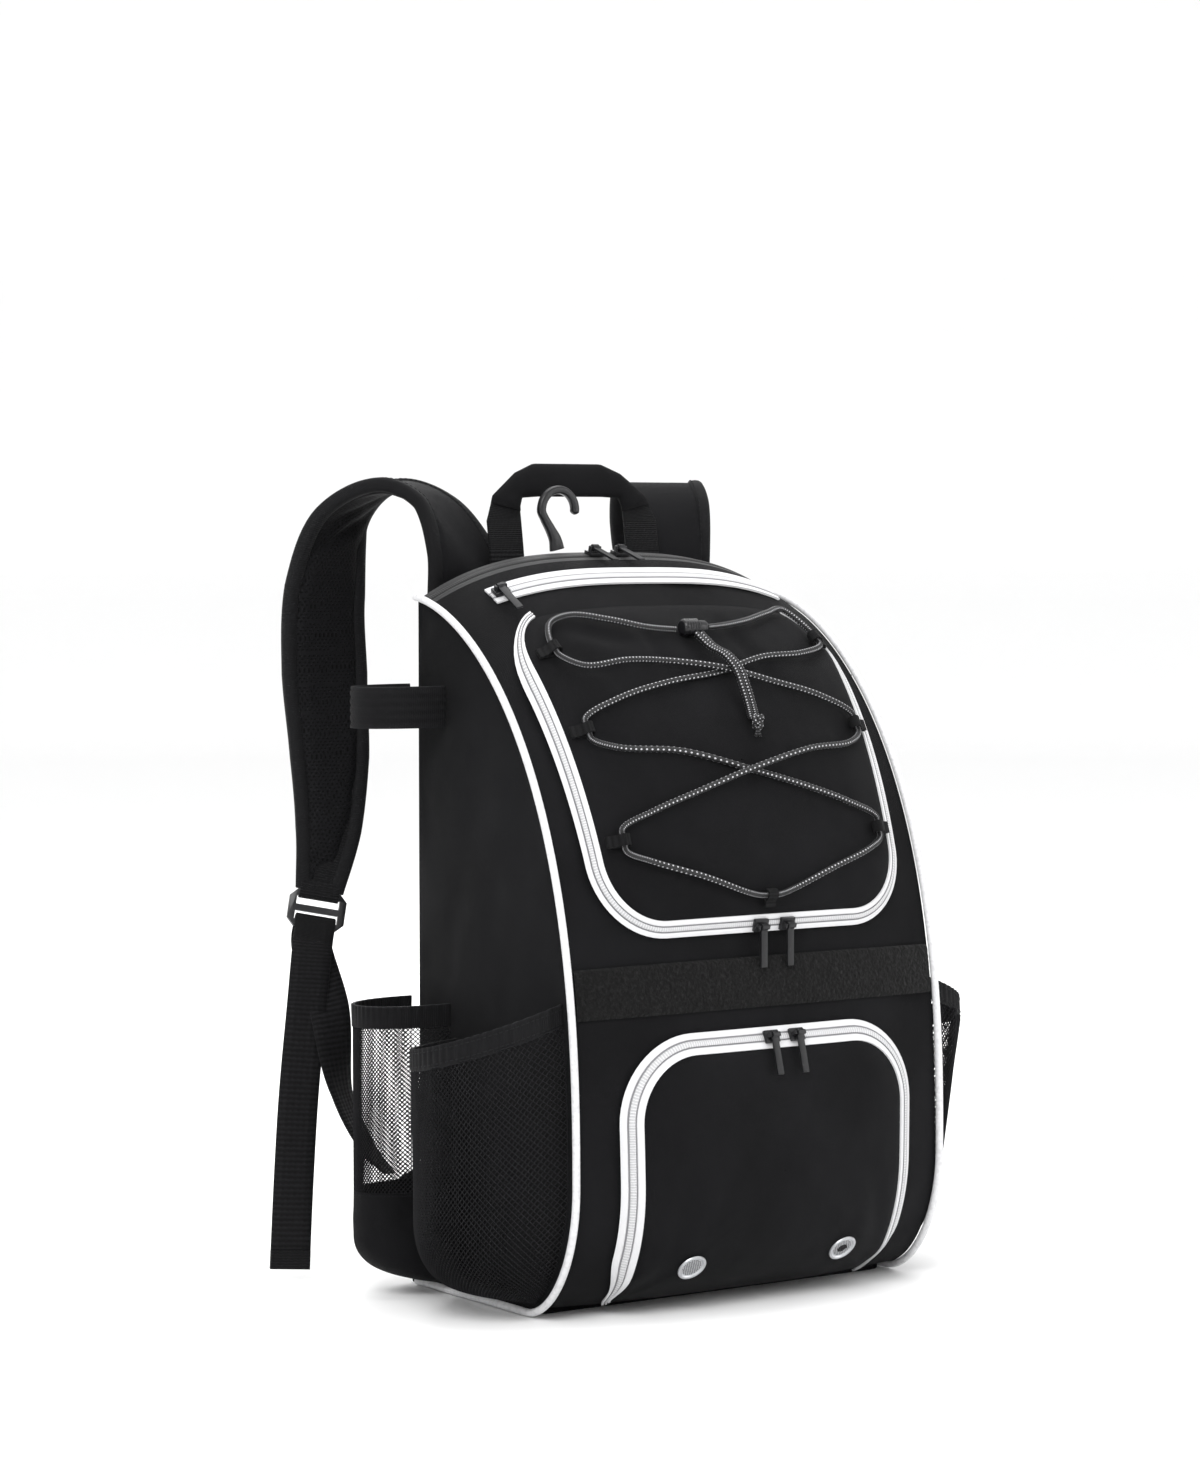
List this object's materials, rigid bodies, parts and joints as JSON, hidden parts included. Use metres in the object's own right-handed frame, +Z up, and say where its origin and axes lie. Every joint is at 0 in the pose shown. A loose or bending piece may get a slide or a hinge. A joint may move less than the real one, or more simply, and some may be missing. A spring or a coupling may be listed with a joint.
{
  "type": "baseball bat backpack",
  "caption": "Soft sports backpack with zipped front pockets, a bungee lacing, mesh bottle pockets, bat sleeves with bat loops, padded shoulder straps, a carry handle and a fence hook.",
  "frame": {"origin": "on the floor, under the middle of the bag's width and of its body depth", "axes": "+Z up; the front with the pockets faces -Y, the back with the straps faces +Y, +X is the bag's right in a front view"},
  "size_m": [0.4434, 0.3271, 0.567],
  "materials": {
    "black_cloth": "matte woven polyester",
    "black_mesh": "open knitted mesh",
    "black_webbing": "ribbed webbing",
    "white_trim": "woven zipper tape and piping",
    "black_zipper": "coil zipper tape",
    "loop_strip": "fuzzy hook-and-loop tape",
    "bungee": "braided elastic cord with light flecks",
    "black_plastic": "smooth moulded plastic",
    "black_metal": "painted zipper hardware",
    "silver_metal": "round mesh vent"
  },
  "bodies": {
    "bag": {"front_panel": "black_cloth", "back_panel": "black_cloth", "base_panel": "black_cloth", "upper_pocket": "black_cloth", "lower_pocket": "black_cloth", "side_panel_left": "black_cloth", "side_panel_right": "black_cloth", "shoulder_pad_left": "black_cloth", "shoulder_pad_right": "black_cloth", "bottle_pocket_left": "black_mesh", "bottle_pocket_right": "black_mesh", "bat_sleeve_left": "black_mesh", "bat_sleeve_right": "black_mesh", "carry_handle": "black_webbing", "pocket_binding_left": "black_webbing", "pocket_binding_right": "black_webbing", "bat_loop_left": "black_webbing", "bat_loop_right": "black_webbing", "strap_webbing_left": "black_webbing", "strap_webbing_right": "black_webbing", "strap_anchor_left": "black_webbing", "strap_anchor_right": "black_webbing", "cord_loop_left_top": "black_webbing", "cord_loop_left_middle": "black_webbing", "cord_loop_left_low": "black_webbing", "cord_loop_right_top": "black_webbing", "cord_loop_right_middle": "black_webbing", "cord_loop_right_low": "black_webbing", "cord_loop_bottom": "black_webbing", "slit_zipper": "white_trim", "upper_pocket_zipper": "white_trim", "lower_pocket_zipper": "white_trim", "piping_left": "white_trim", "piping_right": "white_trim", "main_zipper": "black_zipper", "patch_strip": "loop_strip", "bungee_cord": "bungee", "bungee_tail": "bungee", "cord_lock": "black_plastic", "fence_hook": "black_plastic", "buckle_left": "black_plastic", "buckle_right": "black_plastic", "slider_upper_left": "black_metal", "slider_upper_right": "black_metal", "slider_lower_left": "black_metal", "slider_lower_right": "black_metal", "slider_slit": "black_metal", "slider_main_left": "black_metal", "slider_main_right": "black_metal", "vent_left": "silver_metal", "vent_right": "silver_metal"},
    "pull_upper_left": {"pull_upper_left": "black_metal"},
    "pull_upper_right": {"pull_upper_right": "black_metal"},
    "pull_lower_left": {"pull_lower_left": "black_metal"},
    "pull_lower_right": {"pull_lower_right": "black_metal"},
    "pull_slit": {"pull_slit": "black_metal"},
    "pull_main_left": {"pull_main_left": "black_metal"},
    "pull_main_right": {"pull_main_right": "black_metal"}
  },
  "joints": [
    {"name": "pull_hinge_upper_left", "type": "hinge", "parent": "bag", "child": "pull_upper_left", "pos_m": [-0.00401, -0.11039, 0.25586], "axis": [1, -0.0019, -0.0005], "range_deg": [-150, 0]},
    {"name": "pull_hinge_upper_right", "type": "hinge", "parent": "bag", "child": "pull_upper_right", "pos_m": [0.01801, -0.11036, 0.25586], "axis": [1, 0.0019, 0.0005], "range_deg": [-150, 0]},
    {"name": "pull_hinge_lower_left", "type": "hinge", "parent": "bag", "child": "pull_lower_left", "pos_m": [-0.00401, -0.12226, 0.18503], "axis": [1, -0.0013, 0.0006], "range_deg": [-150, 0]},
    {"name": "pull_hinge_lower_right", "type": "hinge", "parent": "bag", "child": "pull_lower_right", "pos_m": [0.01701, -0.12224, 0.18502], "axis": [1, 0.0013, -0.0006], "range_deg": [-150, 0]},
    {"name": "pull_hinge_slit", "type": "hinge", "parent": "bag", "child": "pull_slit", "pos_m": [-0.11477, 0.04087, 0.48278], "axis": [0.9504, -0.1467, 0.2743], "range_deg": [-150, 0]},
    {"name": "pull_hinge_main_left", "type": "hinge", "parent": "bag", "child": "pull_main_left", "pos_m": [-0.01401, 0.07462, 0.50833], "axis": [1, -0.0005, 0.002], "range_deg": [-150, 0]},
    {"name": "pull_hinge_main_right", "type": "hinge", "parent": "bag", "child": "pull_main_right", "pos_m": [0.00801, 0.07462, 0.50834], "axis": [1, 0.0005, -0.002], "range_deg": [-150, 0]}
  ]
}
